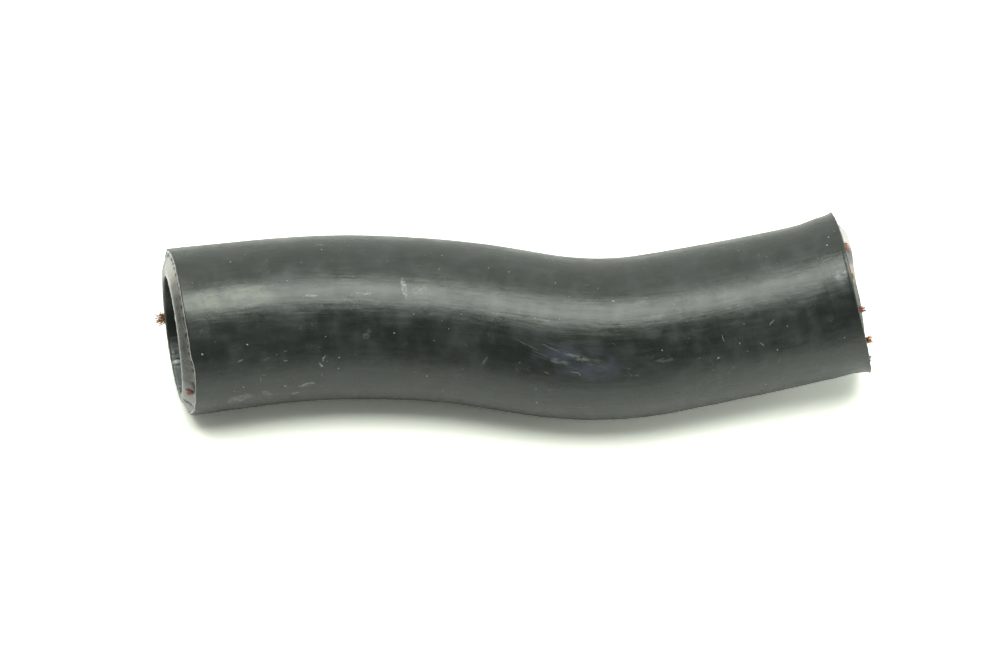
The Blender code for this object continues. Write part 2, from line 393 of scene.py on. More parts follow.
class End(namedtuple("EndParts", END_PARTS)):
    """One cut end: which way it faces, its cut plane, its waves, its pits and its lumps."""

    def outer_at(self, inward):
        """The outside radius at a distance in from the cut."""
        mouth = self.outward > 0
        into_mouth = max(0.0, 1 - inward / MOUTH_LENGTH) if mouth else 0.0
        burr = BURR_HEIGHT * max(0.0, 1 - inward / BURR_LENGTH) ** 2 if mouth else 0.0
        plain = self.station.outer - (MOUTH_FLARE if mouth else 0.0)
        return plain + MOUTH_FLARE * into_mouth**2 + burr

    def rings(self):
        """The rings round the cut, from the outside wall into the bore."""
        sizes = self.sizes
        laid = []

        def lay(radius, inward, liner_share, zone, drop=0.0, worn=0.0):
            ring = Ring(self.station, radius, drop, self.normal, -self.outward * inward, zone)
            laid.append(Laid(ring, inward, liner_share, worn))

        for inward in COLLAR_SHIFTS:
            lay(self.outer_at(inward), inward, 0.0, COVER)
        outer = self.outer_at(0.0)
        for turn in LIP_TURNS:
            inset = sizes.lip_round * (1 - math.cos(math.radians(turn)))
            inward = sizes.lip_round * (1 - math.sin(math.radians(turn)))
            worn = math.sin(math.radians(turn)) ** 0.5
            lay(outer - inset, inward, 0.0, COVER if turn < LIP_CUT_TURN else CUT_FACE, worn=worn)
        slope_start, slope_width = self.slope
        slope_end = sizes.cover + sizes.yarn_slope
        bore = self.station.bore
        inset = sizes.lip_round + FACE_START
        worn = FACE_START_WEAR
        while inset < slope_end:
            share = min(1.0, max(0.0, (inset - slope_start) / slope_width))
            lay(outer - inset, 0.0, share * share * (3 - 2 * share), CUT_FACE, worn=worn)
            inset += FACE_STEP
            worn = 0.0
        edge = bore + sizes.lip_round
        for share in LINER_SHARES:
            radius = (self.station.outer - slope_end) * (1 - share) + edge * share
            lay(radius, 0.0, 1.0, LINER_FACE, BORE_DROP * share)
        for turn in INNER_LIP_TURNS:
            inset = sizes.lip_round * math.sin(math.radians(turn))
            inward = sizes.lip_round * (1 - math.cos(math.radians(turn)))
            zone = LINER_FACE if turn < INNER_LIP_BORE_TURN else BORE
            lay(edge - inset, inward, 1.0, zone, BORE_DROP)
        for inward in MOUTH_SHIFTS:
            lay(bore, inward, 1.0, BORE, BORE_DROP)
        return laid

    def hollow_at(self, ring, angle):
        """How deep the pits are at a point of the cut face."""
        deepest = 0.0
        inset = self.station.outer - ring.radius
        for pit in self.pits:
            turn = turn_between(angle, pit.angle)
            gap = math.hypot(turn * ring.radius, inset - pit.inset) / pit.radius
            if gap < 1:
                deepest = max(deepest, pit.depth * (1 - gap * gap) ** 1.5)
        return deepest

    def lump_at(self, ring, inward, angle):
        """How far lumps of rubber stand into the bore just inside the cut."""
        height = 0.0
        for lump in self.lumps:
            turn = turn_between(angle, lump.angle)
            gap = math.hypot(turn * ring.radius, inward - lump.inward) / lump.radius
            if gap < 1:
                height = max(height, lump.height * (1 - gap * gap) ** 2)
        return height

    def outward_at(self, ring, inward, liner_share, angle, place):
        """How far a point moves out along the run: waves, the proud liner, pits and knife marks."""
        fade = max(0.0, 1 - inward / COLLAR_SHIFTS[0])
        rim = around(self.rim, angle) * fade
        liner = (self.proud + around(self.liner, angle)) * fade
        moved = rim * (1 - liner_share) + liner * liner_share
        if ring.zone in (CUT_FACE, LINER_FACE):
            for depth, scale in KNIFE_WAVES:
                moved += depth * noise.noise(place * scale)
            moved -= self.hollow_at(ring, angle)
        return moved * self.outward


def make_ends(sizes, stations):
    """The two cut ends by name, each with its own waves and pits."""
    left, right = stations[0], stations[-1]
    pits = {}
    for side, row in (("left", LEFT_PIT_ROW), ("right", RIGHT_PIT_ROW)):
        yarns = [math.radians(tuft.angle) for tuft in TUFTS if tuft.node.startswith(side)]
        pits[side] = make_pits(sizes, row, yarns)
    left_slope = (sizes.lip_round * 2, sizes.cover + sizes.yarn_slope - sizes.lip_round * 2)
    right_slope = (sizes.cover, sizes.yarn_slope)
    return {
        "left": End(
            sizes, left, -1.0, swung(left, LEFT_CUT_TURN, LEFT_CUT_LEAN), sizes.left_proud,
            left_slope, LEFT_RIM, LEFT_LINER, [*pits["left"], *LEFT_CREVICE], LEFT_LUMPS,
        ),
        "right": End(
            sizes, right, 1.0, swung(right, RIGHT_CUT_TURN, RIGHT_CUT_LEAN), sizes.right_proud,
            right_slope, RIGHT_RIM, RIGHT_LINER, pits["right"], (),
        ),
    }


def tube_rings(stations, step, radius_of, drop, zone):
    """Plain rings along the run, no closer to each other than a step, clear of both cuts."""
    rings = []
    reached = PLAIN_FROM_END
    for station in stations:
        if reached - TINY <= station.distance <= RUN_LENGTH - PLAIN_FROM_END:
            rings.append(Laid(Ring(station, radius_of(station), drop, None, 0.0, zone)))
            reached = station.distance + step
    return rings


def loft(bm, laid):
    """Extrudes one circle along the rings and closes the last on the first. Returns rings' verts."""
    matrices = [ring_matrix(item.ring) for item in laid]
    bmesh.ops.create_circle(bm, segments=SIDES, radius=1.0, matrix=matrices[0])
    first_edges = bm.edges[:]
    verts = [bm.verts[:]]
    last_edges = first_edges
    for index in range(1, len(laid)):
        made = bmesh.ops.extrude_edge_only(bm, edges=last_edges)["geom"]
        new_verts = [item for item in made if isinstance(item, bmesh.types.BMVert)]
        last_edges = [
            item for item in made if isinstance(item, bmesh.types.BMEdge) and item.is_boundary
        ]
        for item in made:
            if isinstance(item, bmesh.types.BMFace):
                item.material_index = laid[index].ring.zone
        step = matrices[index] @ matrices[index - 1].inverted()
        bmesh.ops.transform(bm, matrix=step, verts=new_verts)
        verts.append(new_verts)
    closing = bmesh.ops.bridge_loops(bm, edges=first_edges + last_edges)["faces"]
    for face in closing:
        face.material_index = laid[0].ring.zone
    return matrices, verts


def wear_surface(sizes, bm, laid, matrices, verts, ends):
    """Moves the plain loft's points, and keeps each one's place in the straightened hose."""
    place_layer = bm.verts.layers.float_vector[STRAIGHT_PLACE]
    worn_layer = bm.verts.layers.float[EDGE_WEAR_AND_HIGHLIGHT]
    hollow_layer = bm.verts.layers.float[HOLLOW]
    for (ring, inward, liner_share, worn), matrix, ring_verts in zip(laid, matrices, verts):
        flat = matrix.inverted()
        station = ring.station
        end = next((end for end in ends.values() if end.station is station), None)
        for vert in ring_verts:
            local = flat @ vert.co
            angle = math.atan2(local.y, local.x)
            along = station.distance + ring.shift
            place = Vector(
                (along, ring.radius * math.cos(angle), ring.radius * math.sin(angle))
            ) / MM
            radial = station.side * math.cos(angle) + station.up * math.sin(angle)
            vert[place_layer] = place
            vert[worn_layer] = worn
            if ring.normal:
                moved = end.outward_at(ring, inward, liner_share, angle, place)
                vert.co += station.ahead * moved
                vert[hollow_layer] = end.hollow_at(ring, angle) / PIT_DEPTH
                if ring.zone == BORE:
                    vert.co -= radial * end.lump_at(ring, inward, angle)
            if ring.zone == COVER:
                crown = max(0.0, math.sin(angle)) * max(0.0, 1 - along / CROWN_REACH)
                waves = sizes.crown * crown + sizes.swell * noise.noise(place * SWELL_SCALE)
                waves += sizes.ripple * noise.noise(place * RIPPLE_SCALE)
                vert.co += radial * waves
            vert.co.z = max(vert.co.z, 0.0)


def placed(name, data):
    """A new object in the scene for a mesh, a lamp or a camera."""
    thing = bpy.data.objects.new(name, data)
    bpy.context.scene.collection.objects.link(thing)
    return thing


def mesh_from(bm, name, finishes):
    """The bmesh as a smooth mesh with its finishes."""
    mesh = bpy.data.meshes.new(name)
    bm.to_mesh(mesh)
    bm.free()
    mesh.shade_smooth()
    for finish in finishes:
        mesh.materials.append(finish)
    return mesh


def finished_piece(name, bm, finishes, slot, node):
    """The bmesh as a piece that rides on the root body and stands for its node."""
    piece = placed(name, mesh_from(bm, name, finishes))
    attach(piece, "root")
    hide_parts(node)


class HOSE_OT_moulding(bpy.types.Operator):
    """Make the moulded hose with its worn cover and cut ends"""

    bl_idname = "hose.moulding"
    bl_label = "Moulded Hose"

    def execute(self, context):
        sizes = context.scene.hose_sizes
        stations = make_run(sizes, frame_start(sizes))
        ends = make_ends(sizes, stations)
        outside = tube_rings(stations, OUTER_STEP * STEP_SLACK, lambda s: s.outer, 0.0, COVER)
        inside = tube_rings(stations, BORE_STEP, lambda s: s.bore, BORE_DROP, BORE)
        laid = ends["left"].rings()[::-1] + outside + ends["right"].rings() + inside[::-1]
        bm = bmesh.new()
        bm.verts.layers.float_vector.new(STRAIGHT_PLACE)
        bm.verts.layers.float.new(EDGE_WEAR_AND_HIGHLIGHT)
        bm.verts.layers.float.new(HOLLOW)
        matrices, verts = loft(bm, laid)
        wear_surface(sizes, bm, laid, matrices, verts, ends)
        bmesh.ops.recalc_face_normals(bm, faces=bm.faces)
        colours = context.scene.hose_colours
        cut = cut_finish(colours)
        finishes = [cover_finish(colours), cut, cut, bore_finish(colours)]
        finished_piece("rubber_hose", bm, finishes, "black_rubber", "hose")
        return {"FINISHED"}


# The frayed yarn.

FIBRE_STEPS = 9
FIBRE_SIDES = 5
FIBRE_TAPER = 0.6
FIBRE_GIRTHS = (0.7, 1.2)
ROOT_SHARES = (0.1, 1.0)
REACH_SHARES = (0.55, 1.0)
SPLAY_SHARES = (0.2, 1.0)
SPLAY_CURVE = 2.2
CURL_SWINGS = (2.0, 5.0)
CURL_SHARE = 0.7
FIRST_TUFT_SEED = 100


def add_fibre(bm, points, radius):
    """A thin closed fibre through the points, tapering to its tip."""
    loop = []
    for index, point in enumerate(points):
        before = points[max(0, index - 1)]
        after = points[min(len(points) - 1, index + 1)]
        turn = (after - before).to_track_quat("Z", "Y").to_matrix().to_4x4()
        size = radius * (1 - FIBRE_TAPER * index / (len(points) - 1))
        matrix = Matrix.Translation(point) @ turn @ Matrix.Scale(size, 4)
        if not loop:
            made = bmesh.ops.create_circle(
                bm, segments=FIBRE_SIDES, radius=1.0, cap_ends=True, matrix=matrix
            )
            loop = list({edge for vert in made["verts"] for edge in vert.link_edges})
        else:
            made = bmesh.ops.extrude_edge_only(bm, edges=loop)["geom"]
            verts = [item for item in made if isinstance(item, bmesh.types.BMVert)]
            edges = [item for item in made if isinstance(item, bmesh.types.BMEdge)]
            loop = [edge for edge in edges if all(vert in verts for vert in edge.verts)]
            bmesh.ops.transform(bm, matrix=matrix @ last.inverted(), verts=verts)
        last = matrix
    bmesh.ops.holes_fill(bm, edges=loop, sides=FIBRE_SIDES)


# Each tuft's node, degrees round the hose, colour and number of fibres. Its reach is a share of
# the node's length, and the other sizes are in millimetres.
Tuft = namedtuple("Tuft", "node angle colour fibres width reach splay curl droop")
TUFTS = rows_of(
    Tuft,
    ("left_far_yarn", 328, "orange", 110, 0.50, 1.15, 0.75, 1.15, 0.0),
    ("left_low_yarn", 187, "pink", 44, 0.40, 1.6, 0.30, 0.25, 0.0),
    ("right_top_yarn", 95, "orange", 110, 0.95, 1.20, 0.50, 0.40, 0.5),
    ("right_face_yarn", 120, "brown", 60, 0.50, 1.0, 0.45, 0.30, 0.3),
    ("right_upper_yarn", 148, "pink", 90, 0.50, 1.25, 0.15, 0.22, 0.0),
    ("right_middle_yarn", 176, "orange", 80, 0.45, 1.45, 0.25, 0.30, 0.0),
    ("right_low_yarn", 205, "grey", 46, 0.40, 1.0, 0.25, 0.25, 0.0),
)


def tuft_points(chance, root, out, length, tuft):
    """The points of one fibre, which splays and curls once it is out of its pit."""
    across = out.orthogonal().normalized()
    lean = Matrix.Rotation(chance.uniform(0, 2 * math.pi), 3, out) @ across
    curl = Matrix.Rotation(chance.uniform(0, 2 * math.pi), 3, out) @ across
    start = root + lean * chance.uniform(*ROOT_SHARES) * tuft.width * MM
    reach = length * chance.uniform(*REACH_SHARES)
    splay = tuft.splay * MM * chance.uniform(*SPLAY_SHARES)
    swing = chance.uniform(*CURL_SWINGS)
    points = []
    for step in range(FIBRE_STEPS + 1):
        share = step / FIBRE_STEPS
        point = start + out * reach * share + lean * splay * share**SPLAY_CURVE
        point += curl * tuft.curl * MM * share * math.sin(swing * share) * CURL_SHARE
        point.z -= tuft.droop * MM * share**2
        points.append(point)
    return points


class HOSE_OT_yarn(bpy.types.Operator):
    """Make the frayed yarn tufts in place of the plain yarn ends"""

    bl_idname = "hose.yarn"
    bl_label = "Frayed Yarn"

    def execute(self, context):
        sizes = context.scene.hose_sizes
        colours = context.scene.hose_colours
        stations = make_run(sizes, frame_start(sizes))
        ends = make_ends(sizes, stations)
        for index, tuft in enumerate(TUFTS):
            end = ends[tuft.node.split("_")[0]]
            out = end.station.ahead * end.outward
            low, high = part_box(tuft.node)
            middle = (low + high) / 2
            half = abs((high - low).x / out.x) / 2
            chance = random.Random(FIRST_TUFT_SEED + index)
            root = middle - out * half
            bm = bmesh.new()
            for _ in range(tuft.fibres):
                points = tuft_points(chance, root, out, 2 * half * tuft.reach, tuft)
                add_fibre(bm, points, sizes.fibre / 2 * chance.uniform(*FIBRE_GIRTHS))
            bmesh.ops.recalc_face_normals(bm, faces=bm.faces)
            finish = yarn_finish(tuft.colour, getattr(colours, tuft.colour))
            piece = tuft.node.replace("_yarn", "_tuft")
            finished_piece(piece, bm, [finish], "yarn_" + tuft.colour, tuft.node)
        return {"FINISHED"}


# Finishes.

MIX_FACTOR, MIX_A, MIX_B, MIX_RESULT = 0, 6, 7, 2

# Radius in millimetres at which marks are measured round the hose.
COVER_RADIUS = 13.6
SHEEN_LEVEL = 0.75

# Soft noise: cells a millimetre, then its detail, roughness and the factors that stretch it.
Cloud = namedtuple("Cloud", "scale detail roughness stretch", defaults=(3.0, 0.55, None))


class Shade:
    """A number from a node's socket, so that finishes write their maths as expressions."""

    def __init__(self, tree, socket):
        self.tree = tree
        self.socket = socket

    def output(self, name):
        """Another output of the same node."""
        return Shade(self.tree, self.socket.node.outputs[name])

    def maths(self, operation, *values):
        settings = {"operation": operation}
        return self.tree.add("ShaderNodeMath", settings, dict(enumerate(values)))

    def __add__(self, other):
        return self.maths("ADD", self, other)

    def __sub__(self, other):
        return self.maths("SUBTRACT", self, other)

    def __rsub__(self, other):
        return self.maths("SUBTRACT", other, self)

    def __mul__(self, other):
        return self.maths("MULTIPLY", self, other)

    def __pow__(self, other):
        return self.maths("POWER", self, other)

    __radd__ = __add__
    __rmul__ = __mul__

    def size(self):
        return self.maths("ABSOLUTE", self)

    def most(self, other):
        return self.maths("MAXIMUM", self, other)

    def rising(self, low, high):
        """0 below low and 1 above high, eased between. High may be the smaller."""
        if low > high:
            return 1 - self.rising(high, low)
        sockets = {"Value": self, "From Min": low, "From Max": high}
        return self.tree.add(
            "ShaderNodeMapRange", {"interpolation_type": "SMOOTHSTEP"}, sockets
        )


class Nodes:
    """The nodes of one material or world. Most methods add nodes and return an output."""

    def __init__(self, tree):
        self.nodes = tree.nodes
        self.links = tree.links

    def put(self, socket, value):
        """Links or sets a socket."""
        if isinstance(value, Shade):
            self.links.new(value.socket, socket)
        else:
            socket.default_value = value

    def add(self, kind, settings, sockets, output=0):
        """A node with its settings, then its sockets' values or links. Returns one output."""
        node = self.nodes.new(kind)
        for key, value in settings.items():
            setattr(node, key, value)
        for key, value in sockets.items():
            self.put(node.inputs[key], value)
        return Shade(self, node.outputs[output])

    def mix(self, factor, first, second):
        """From the first colour to the second as the factor goes from 0 to 1."""
        colours = [c if isinstance(c, Shade) else (*c, 1.0) for c in (first, second)]
        sockets = {MIX_FACTOR: factor, MIX_A: colours[0], MIX_B: colours[1]}
        return self.add("ShaderNodeMix", {"data_type": "RGBA"}, sockets, MIX_RESULT)

    def vector(self, operation, *values, output=0):
        settings = {"operation": operation}
        return self.add("ShaderNodeVectorMath", settings, dict(enumerate(values)), output)

    def show(self, output, plain, seen):
        """Shows the camera one shader and every other ray the plain one."""
        camera = self.add("ShaderNodeLightPath", {}, {}, "Is Camera Ray")
        mixed = self.add("ShaderNodeMixShader", {}, {0: camera, 1: plain, 2: seen})
        self.put(self.nodes[output].inputs["Surface"], mixed)


class Finish(Nodes):
    """A material with its nodes and its surface shader."""

    def __init__(self, name):
        self.material = bpy.data.materials.new(name)
        self.material.use_nodes = True
        super().__init__(self.material.node_tree)
        self.surface = self.nodes["Principled BSDF"]

    def attribute(self, name, output="Fac"):
        return self.add("ShaderNodeAttribute", {"attribute_name": name}, {}, output)

    def place(self):
        """The point's place in the straightened hose, in millimetres."""
        return self.attribute(STRAIGHT_PLACE, "Vector")

    def unrolled(self, place):
        """(distance along the hose, angle round it) of a place in the straightened hose."""
        along = self.add("ShaderNodeSeparateXYZ", {}, {"Vector": place}, "X")
        near = along.output("Y") * -1
        down = along.output("Z") * -1
        return along, down.maths("ARCTAN2", down, near) + math.pi

    def cloud(self, place, cloud):
        """Soft noise from 0 to 1, mostly near 0.5."""
        if cloud.stretch:
            place = self.vector("MULTIPLY", place, cloud.stretch)
        sockets = {
            "Vector": place, "Scale": cloud.scale, "Detail": cloud.detail, "Roughness": cloud.roughness,
        }
        return self.add("ShaderNodeTexNoise", {}, sockets, "Fac")

    def spots(self, place, scale, radius, share):
        """Round specks, at most one to a cell of the given scale, in a share of the cells."""
        sockets = {"Vector": place, "Scale": scale}
        near = self.add("ShaderNodeTexVoronoi", {}, sockets, "Distance")
        pick = self.add("ShaderNodeSeparateColor", {}, {"Color": near.output("Color")}, "Red")
        return near.rising(radius, radius * 0.45) * pick.rising(1 - share, 1 - share + 0.01)

    def turned(self, along, angle, scuff):
        """(lengthways, sideways) of a scuff, in millimetres from its middle."""
        turn = math.radians(scuff.turn)
        forward = along - scuff.along
        across = (angle - math.radians(scuff.angle)) * COVER_RADIUS
        lengthways = forward * math.cos(turn) + across * math.sin(turn)
        sideways = across * math.cos(turn) - forward * math.sin(turn)
        return lengthways, sideways

    def patch(self, along, angle, scuff):
        """A soft oval at a scuff's place on the hose."""
        lengthways, sideways = self.turned(along, angle, scuff)
        reach = (lengthways * (1 / scuff.length)) ** 2 + (sideways * (1 / scuff.width)) ** 2
        return reach.rising(1.0, 0.1)

    def bump(self, height, distance, strength):
        sockets = {"Height": height, "Distance": distance, "Strength": strength}
        return self.add("ShaderNodeBump", {}, sockets)

    def finish(self, **sockets):
        """The material, with values or links for the sockets of its surface shader."""
        for name, value in sockets.items():
            self.put(self.surface.inputs[name.replace("_", " ")], value)
        return self.material


# Marks on the cover: millimetres along the hose and degrees round it, then half sizes.
Scuff = namedtuple("Scuff", "along angle length width turn strength")
Speck = namedtuple("Speck", "along angle radius")
BROKEN_SCUFFS = rows_of(
    Scuff,
    (38.4, 113, 2.2, 0.60, 74, 0.75), (31.7, 118, 2.0, 0.25, 0, 0.80),
    (22.3, 119, 1.6, 0.30, 0, 0.65), (41.1, 114, 1.6, 0.90, -20, 0.35),
    (32.2, 146, 1.2, 0.70, -48, 0.25), (54.0, 158, 1.2, 0.35, -60, 0.35),
    (20.6, 186, 1.9, 0.55, -12, 0.55), (18.3, 196, 1.1, 0.45, -9, 0.70),
    (8.4, 194, 3.0, 1.3, -16, 0.30), (13.1, 192, 1.5, 0.9, 40, 0.28),
    (78.3, 152, 1.6, 0.5, 5, 0.15), (114.0, 119, 1.5, 1.0, -10, 0.55),
    (64.9, 151, 1.7, 0.6, 10, 0.24), (67.4, 147.5, 1.7, 0.6, 8, 0.34),
    (69.8, 152, 2.0, 1.2, 16, 0.12),
)
SCRATCHES = rows_of(
    Scuff,
    (60.6, 142, 2.7, 0.09, 22, 0.20), (63.7, 142, 1.7, 0.14, 24, 0.20),
    (66.4, 145.5, 1.2, 0.20, 9, 0.34), (64.9, 151, 0.8, 0.18, 2, 0.26),
    (66.9, 158, 0.8, 0.10, 9, 0.45), (67.5, 159.5, 0.3, 0.10, 60, 0.35),
    (63.4, 160, 0.6, 0.11, 26, 0.32), (62.6, 147, 1.6, 0.11, 21, 0.16),
    (69.0, 148, 1.5, 0.10, 16, 0.15), (24.1, 163, 0.85, 0.15, -58, 0.60),
    (23.4, 167.5, 0.5, 0.16, 80, 0.55), (23.6, 169, 0.35, 0.26, 20, 0.70),
    (16.6, 186, 0.42, 0.13, 3, 1.0), (12.1, 176, 0.60, 0.09, 88, 0.40),
    (9.2, 159, 0.70, 0.14, -28, 0.35), (17.3, 156, 0.45, 0.10, -15, 0.30),
    (17.1, 163, 0.45, 0.10, 0, 0.40), (89.1, 144, 0.8, 0.10, 80, 0.50),
    (98.8, 140, 0.9, 0.12, -28, 0.45), (96.3, 154, 0.7, 0.10, 45, 0.45),
    (87.8, 158, 0.45, 0.14, -25, 0.60), (94.0, 68, 0.8, 0.10, 30, 0.30),
)
SPECKS = rows_of(
    Speck,
    (10.6, 148, 0.13), (9.7, 86, 0.13), (24.5, 80, 0.12), (27.0, 163, 0.16),
    (43.9, 82, 0.10), (43.9, 96, 0.10), (51.8, 89, 0.10), (55.3, 90, 0.10), (63.2, 94, 0.10),
    (72.1, 107, 0.10), (59.7, 155, 0.11), (46.9, 139, 0.10), (62.2, 189, 0.14), (96.6, 77, 0.11),
    (78.1, 145, 0.12), (96.6, 193, 0.14), (40.9, 173, 0.10), (113.6, 87, 0.16), (113.1, 94, 0.15),
    (93.6, 137, 0.12), (92.1, 150, 0.12), (84.1, 155, 0.10), (99.1, 161, 0.11),
    (101.6, 145, 0.11), (26.8, 172, 0.10), (23.5, 177, 0.10), (40.4, 131, 0.10),
    (44.4, 148, 0.10), (2.0, 151, 0.20), (18.6, 107, 0.11),
)
SCRATCHED = Scuff(65.2, 146, 6.8, 3.2, 15, 0.36)
BLUE_FILMS = (Scuff(67.0, 151, 7.5, 3.6, 6, 0.75), Scuff(18.5, 103, 1.6, 1.0, 0, 0.55))
# The warm films are rubbed film and painted highlight that brightens the highlight band.
WARM_FILMS_AND_HIGHLIGHTS = rows_of(
    Scuff,
    (9.0, 115, 12.0, 2.4, -2, 0.70), (33.0, 115, 6.0, 1.6, 0, 0.20),
    (42.5, 113, 3.2, 1.6, 0, 0.35), (103.0, 114, 6.0, 1.6, 0, 0.15),
)

# Noise patterns of the cover.
FILM = Cloud(0.14, 3.0, 0.5, (0.7, 1.0, 1.0))
STREAKS = Cloud(1.2, 3.0, 0.6, (0.12, 1.0, 1.0))
BRUSHING = Cloud(0.5, 2.5, 0.5, (1.0, 0.35, 0.35))
MOTTLE = Cloud(0.36, 2.5, 0.5)
WOBBLE = Cloud(1.8, 2.0)
FINE_LINES = Cloud(1.5, 4.0, 0.7)
MARK_FLECKS = Cloud(2.4, 4.0, 0.75, (0.6, 1.0, 1.0))
HAIRLINES = Cloud(0.5, 2.0, 0.55, (0.5, 1.0, 1.0))
HAIRLINE_PLACES = Cloud(0.35, 2.0)
COVER_BUMP = 0.16 * MM


def speckled(cover, place, along, angle):
    """White specks: two sizes scattered at random, and those in known places."""
    specks = cover.spots(place, 0.32, 0.05, 0.30).most(cover.spots(place, 0.9, 0.085, 0.10))
    flat = cover.add("ShaderNodeCombineXYZ", {}, {"X": along, "Y": angle * COVER_RADIUS})
    for speck in SPECKS:
        centre = (speck.along, math.radians(speck.angle) * COVER_RADIUS, 0.0)
        gap = cover.vector("DISTANCE", flat, centre, output="Value")
        specks = specks.most(gap.rising(speck.radius, speck.radius * 0.5))
    return specks


def marked(cover, place, along, angle):
    """How pale the cover is with scratches, scuffs, hairlines and specks."""
    lengthways, sideways = cover.turned(along, angle, SCRATCHED)
    lines = cover.add("ShaderNodeCombineXYZ", {}, {"X": lengthways * 0.12, "Y": sideways * 3.2})
    fine = cover.cloud(lines, FINE_LINES).rising(0.56, 0.72)
    marks = cover.patch(along, angle, SCRATCHED) * fine * SCRATCHED.strength
    wobble = (cover.cloud(place, WOBBLE) - 0.5) * 0.5
    wavy_along = along + wobble
    wavy_angle = angle + wobble * (1 / COVER_RADIUS)
    flecks = cover.cloud(place, MARK_FLECKS)
    broken = flecks.rising(0.38, 0.62)
    solid = flecks.rising(0.25, 0.50)
    for scuffs, flecked in ((BROKEN_SCUFFS, broken), (SCRATCHES, solid)):
        for scuff in scuffs:
            mask = cover.patch(wavy_along, wavy_angle, scuff) * scuff.strength
            marks = marks.most(mask * flecked)
    thin = (cover.cloud(place, HAIRLINES) - 0.5).size()
    hairlines = thin.rising(0.005, 0.002) * cover.cloud(place, HAIRLINE_PLACES).rising(0.60, 0.68)
    specks = speckled(cover, place, wavy_along, wavy_angle)
    return marks.most(specks * 0.95).most(hairlines * 0.30)


def cover_finish(colours):
    """Black rubber with a grey film, rubbed patches, fine scratches and dust, and a painted highlight
    in the warm films along the top.
    """
    cover = Finish("worn_cover")
    place = cover.place()
    along, angle = cover.unrolled(place)
    film = cover.cloud(place, FILM)
    streaks = cover.cloud(place, STREAKS)
    brushed = cover.cloud(place, BRUSHING)
    mottle = cover.cloud(place, MOTTLE)
    cloudy = mottle.rising(0.25, 0.75)
    bloomed = cloudy * 0.20 + brushed.rising(0.35, 0.75) * 0.14 + streaks.rising(0.45, 0.8) * 0.22
    colour = cover.mix(bloomed, colours.rubber, colours.bloom)
    hazy = film.rising(0.42, 0.72) * 0.30 + mottle.rising(0.50, 0.72) * 0.22
    colour = cover.mix(hazy, colour, colours.haze)
    # The bluish films are scuffs; the warm films paint highlight onto the top of the cover.
    for films, tint in ((BLUE_FILMS, colours.blue_scuff), (WARM_FILMS_AND_HIGHLIGHTS, colours.warm_film_and_highlight)):
        for scuff in films:
            mask = cover.patch(along, angle, scuff) * mottle.rising(0.30, 0.65)
            colour = cover.mix(mask * scuff.strength, colour, tint)
    pale = marked(cover, place, along, angle)
    height = mottle * 0.55 + streaks * 0.26 + brushed * 0.22
    rubbed = film.rising(0.30, 0.70) * 0.08 + cloudy * 0.08 + brushed.rising(0.3, 0.7) * 0.06
    return cover.finish(
        Base_Color=cover.mix(pale * 0.80, colour, colours.dust),
        Roughness=rubbed + streaks.rising(0.35, 0.65) * 0.07 + pale * 0.2 + 0.19,
        Normal=cover.bump(height, COVER_BUMP, 0.9),
        Specular_IOR_Level=SHEEN_LEVEL,
    )


# Stretches of the cut faces: the end, the middle and half width in degrees, colour and strength.
Stretch = namedtuple("Stretch", "end angle spread colour strength")
# The pale stretch at 72 degrees on the left is a painted reflection of the table and the one at 78
# degrees on the right a painted highlight; the cut shade stretches are painted shade.
STRETCHES = rows_of(
    Stretch,
    ("left", 72, 20, "cut_pale", 0.90), ("left", 86, 8, "cut_rose", 0.35),
    ("left", 96, 10, "cut_pale", 0.16), ("left", 122, 14, "cut_dark", 0.35),
    ("left", 147, 8, "rubber", 0.60), ("left", 205, 26, "cut_pale", 0.45),
    ("right", 78, 20, "cut_pale", 0.95), ("right", 103, 9, "cut_violet", 0.80),
    ("right", 117, 9, "cut_rose", 0.75), ("right", 158, 34, "cut_dark", 0.90),
)

# Millimetres along the hose between which the left end's marks give way to the right one's.
LEFT_HALF = 50.0
RIGHT_HALF = 60.0

# Radii in millimetres between which the left yarn ring and the right rim's painted shade fade in and
# out.
RING_INSIDE = (12.70, 12.95)
RING_OUTSIDE = (13.62, 13.45)
PAINTED_RIM_SHADE = (12.6, 13.0)
RING_LOW_END = (math.radians(165), math.radians(155))

# Marks of the left cut: millimetres from the hose's middle and degrees round it, then half sizes.
# The crevice is painted black and the open yarn end dark: painted shade in their hollows.
CREVICE = Scuff(13.30, 175.5, 0.20, 1.35, 0, 1.0)
OPEN_YARN = Scuff(12.45, 206, 0.52, 0.62, 0, 1.0)
YARN_CORE = Scuff(12.45, 206, 0.22, 0.24, 0, 1.0)

# Dust in the left mouth: millimetres in from the cut and degrees round it.
BORE_MOUTH = Scuff(0.4, 268, 2.0, 7.0, 0, 0.30)

# Noise patterns of the cuts, the bore and the yarn.
CUT_MOTTLE = Cloud(0.8, 5.0, 0.7)
CUT_FLECKS = Cloud(3.2, 3.0, 0.6)
KNIFE_MARKS = Cloud(1.4, 3.0, 0.6, (0.3, 0.4, 3.5))
YARN_HOLES = Cloud(1.3, 2.0, 0.6)
CUT_EARTH = Cloud(0.6, 2.0, 0.5)
CUT_BUMP = 0.08 * MM
BORE_FILM = Cloud(0.25, 4.0, 0.6)
BORE_FLECKS = Cloud(3.0, 4.0, 0.7)
BORE_DENTS = Cloud(1.2)
BORE_BUMP = 0.08 * MM
YARN_DIRT = Cloud(2600.0, 3.0, 0.6)
YARN_DULLING = 0.3


def stretched_colour(cut, colours, mottle, flecks, angle, ends):
    """The cut's own flecked colour, with each stretch's colour over it: dust, tints, painted shade, and
    painted highlight on the tops of the cuts.
    """
    share = mottle.rising(0.35, 0.65) * 0.6 + flecks.rising(0.45, 0.7) * 0.25
    colour = cut.mix(share, colours.cut_dark, colours.cut)
    for stretch in STRETCHES:
        spread = math.radians(stretch.spread)
        gap = (angle - math.radians(stretch.angle)).size()
        mask = gap.rising(spread * 1.2, spread * 0.5) * mottle.rising(0.20, 0.50)
        mask = mask * ends[stretch.end] * stretch.strength
        colour = cut.mix(mask, colour, getattr(colours, stretch.colour))
    return colour


